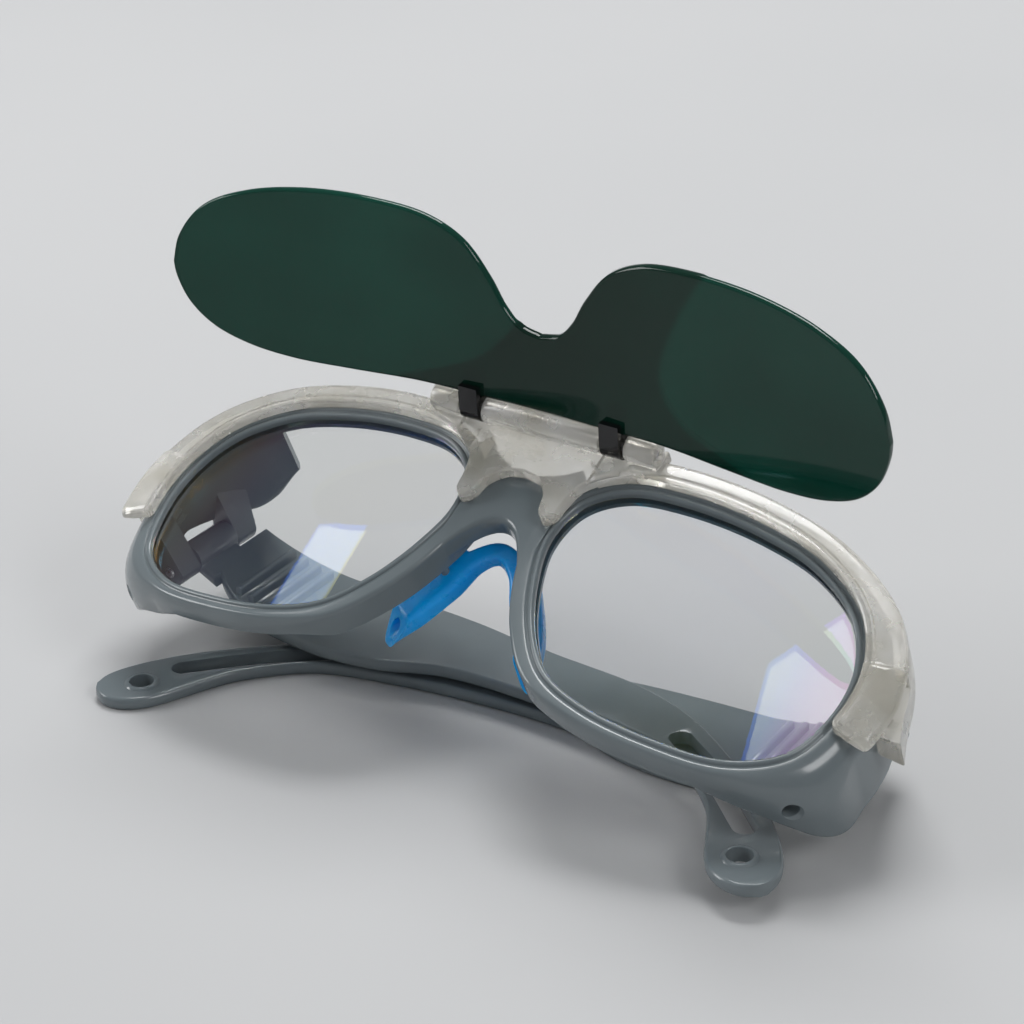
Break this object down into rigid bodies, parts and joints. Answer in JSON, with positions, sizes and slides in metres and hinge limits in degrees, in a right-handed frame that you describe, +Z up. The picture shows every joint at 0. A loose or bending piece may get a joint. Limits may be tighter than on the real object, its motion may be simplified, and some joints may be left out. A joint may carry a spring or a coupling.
{
  "type": "flip-up welding goggles",
  "caption": "Spectacle-type welding goggles with clear lenses, side shields, folded temples and a dark green visor that flips up from a clear brow mount.",
  "frame": {"origin": "centre of the bounding box's underside, on the ground that the folded goggles lie on", "axes": "+X from the left lens to the right lens as seen from the front, +Y from the lower rim towards the brow, +Z up from the ground"},
  "size_m": [0.1658, 0.0598, 0.0956],
  "materials": {
    "smoke_grey": "polished, slightly translucent grey",
    "clear_ivory": "cloudy clear moulding",
    "clear_lens": "clear, coated",
    "dark_green": "polished dark green",
    "gloss_black": "gloss",
    "blue_silicone": "satin silicone",
    "steel": "turned"
  },
  "bodies": {
    "front": {"front_frame": "smoke_grey", "lens_left": "clear_lens", "lens_right": "clear_lens", "nose_pad": "blue_silicone", "brow_mount": "clear_ivory", "visor_hinge_pin": "steel", "temple_screw_left": "steel", "temple_screw_right": "steel"},
    "visor": {"visor_lens": "dark_green", "visor_clip_left": "gloss_black", "visor_clip_right": "gloss_black"},
    "left_temple": {"temple_left": "smoke_grey"},
    "right_temple": {"temple_right": "smoke_grey"}
  },
  "joints": [
    {"name": "visor_flip", "type": "hinge", "parent": "front", "child": "visor", "pos_m": [0.00088, 0.0204, 0.05486], "axis": [0.9997, 0, -0.0262], "range_deg": [0, 109]},
    {"name": "temple_right_fold", "type": "hinge", "parent": "front", "child": "right_temple", "pos_m": [0.07173, 0.01023, 0.0103], "axis": [0, -1, 0], "range_deg": [0, 86]},
    {"name": "temple_left_fold", "type": "hinge", "parent": "front", "child": "left_temple", "pos_m": [-0.07222, 0.01023, 0.01407], "axis": [0, 1, 0], "range_deg": [0, 16]}
  ],
  "couplings": [
    {"joint": "temple_left_fold", "follows": "temple_right_fold", "ratio": 0.18}
  ]
}
